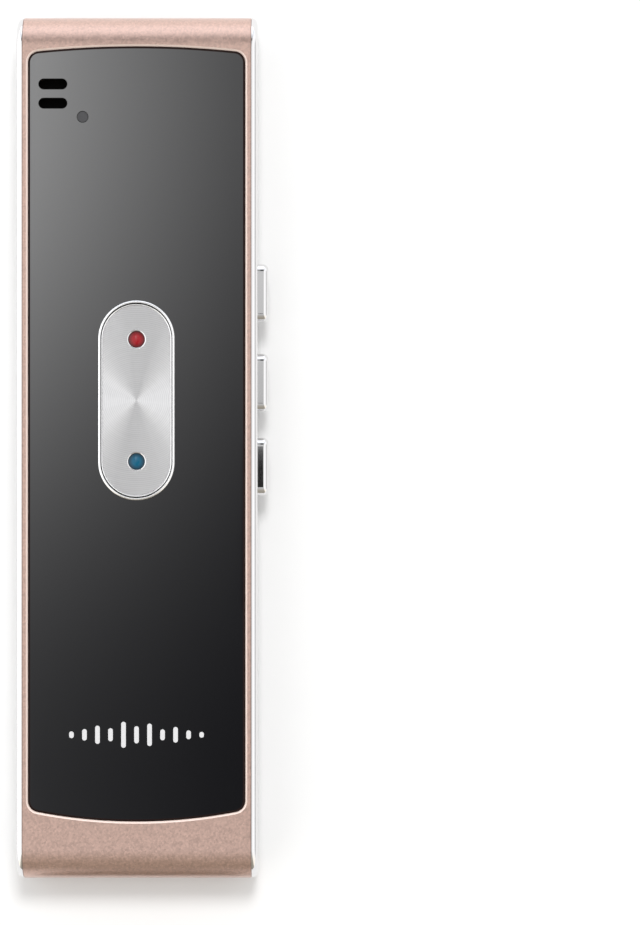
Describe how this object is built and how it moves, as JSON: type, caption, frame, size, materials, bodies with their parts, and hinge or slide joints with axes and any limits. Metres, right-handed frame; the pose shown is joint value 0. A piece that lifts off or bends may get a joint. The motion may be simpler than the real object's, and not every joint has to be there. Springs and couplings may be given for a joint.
{
  "type": "handheld translator",
  "caption": "Slim handheld voice translator: rose-gold metal sleeve, black glass front, pill-shaped tilting talk key, bright side trims with press buttons, speaker grille behind.",
  "frame": {"origin": "centre of the flat back face, the speaker side, on which the device lies", "axes": "+X across the slab towards the side buttons, +Y along the slab towards the microphone end, +Z from the back to the glass front"},
  "size_m": [0.0407, 0.14, 0.0114],
  "materials": {
    "rose_gold": "bead-blasted anodised satin with a fine sparkle",
    "black_glass": "polished black cover glass, gloss",
    "chrome": "bright plating",
    "plated_key": "bright plating",
    "brushed_plate": "spun-brushed in circles about its centre",
    "red_lens": "clear coloured, polished",
    "blue_lens": "clear coloured, polished",
    "smoke_plastic": "smoke grey, polished",
    "adhesive": "milky film",
    "steel": "satin",
    "silicone": "matt translucent",
    "black_plastic": "matt",
    "plunger_plastic": "matt",
    "chassis_plastic": "fine moulded grain",
    "black_mesh": "fine woven",
    "rubber_boot": "matt",
    "foam": "open-cell foam",
    "steel_mesh": "fine woven wire",
    "circuit_board": "solder mask, satin",
    "flat_cable": "amber film",
    "chip_black": "moulded, matt",
    "ceramic": "fired, matt",
    "capsule_metal": "plated, satin",
    "lamp": "clear moulded",
    "battery_foil": "pouch foil, satin",
    "ivory_plastic": "matt",
    "copper": "enamelled wire",
    "cone_paper": "pressed paper",
    "lead_rubber": "matt insulation"
  },
  "bodies": {
    "slab": {"shell_sleeve": "rose_gold", "front_glass": "black_glass", "glass_adhesive": "adhesive", "left_side_trim": "chrome", "right_side_trim": "chrome", "rocker_bezel": "chrome", "rocker_pivot_pin": "steel", "rocker_bracket": "steel", "upper_return_dome": "silicone", "lower_return_dome": "silicone", "volume_up_switch": "black_plastic", "volume_down_switch": "black_plastic", "power_switch": "black_plastic", "side_switch_board": "circuit_board", "side_switch_ribbon": "flat_cable", "indicator_light_guide": "smoke_plastic", "microphone_mesh": "black_mesh", "microphone_boot": "rubber_boot", "microphone_capsule": "capsule_metal", "inner_chassis": "chassis_plastic", "main_board": "circuit_board", "board_screws": "steel", "processor_chip": "chip_black", "memory_chip": "chip_black", "radio_shield_can": "steel", "radio_antenna": "ceramic", "crystal": "steel", "amplifier_chip": "chip_black", "charging_chip": "chip_black", "power_inductor": "chip_black", "board_capacitors": "ceramic", "red_led": "lamp", "blue_led": "lamp", "indicator_led": "lamp", "battery_cell": "battery_foil", "battery_tape": "adhesive", "battery_protection_board": "circuit_board", "battery_leads": "lead_rubber", "battery_connector": "ivory_plastic", "speaker_mesh": "steel_mesh", "speaker_gasket": "foam", "speaker_frame": "black_plastic", "speaker_cone": "cone_paper", "speaker_coil": "copper", "speaker_magnet": "steel", "speaker_leads": "lead_rubber", "charging_socket_shell": "steel", "charging_socket_tongue": "black_plastic"},
    "talk_key": {"rocker_carrier": "plated_key", "rocker_plate": "brushed_plate", "red_lens": "red_lens", "blue_lens": "blue_lens"},
    "volume_up": {"volume_up_button": "chrome", "volume_up_plunger": "plunger_plastic"},
    "volume_down": {"volume_down_button": "chrome", "volume_down_plunger": "plunger_plastic"},
    "power": {"power_button": "chrome", "power_plunger": "plunger_plastic"}
  },
  "joints": [
    {"name": "talk_key_tilt", "type": "hinge", "parent": "slab", "child": "talk_key", "pos_m": [0, 0.00765, 0.00835], "axis": [1, 0, 0], "range_deg": [-1.2, 1.2], "stiffness_Nm_per_rad": 0.75, "deforming": ["upper_return_dome", "lower_return_dome"]},
    {"name": "volume_up_press", "type": "slide", "parent": "slab", "child": "volume_up", "axis": [-1, 0, 0], "range_m": [0, 0.0003], "stiffness_N_per_m": 5000},
    {"name": "volume_down_press", "type": "slide", "parent": "slab", "child": "volume_down", "axis": [-1, 0, 0], "range_m": [0, 0.0003], "stiffness_N_per_m": 5000},
    {"name": "power_press", "type": "slide", "parent": "slab", "child": "power", "axis": [-1, 0, 0], "range_m": [0, 0.0003], "stiffness_N_per_m": 5000}
  ]
}
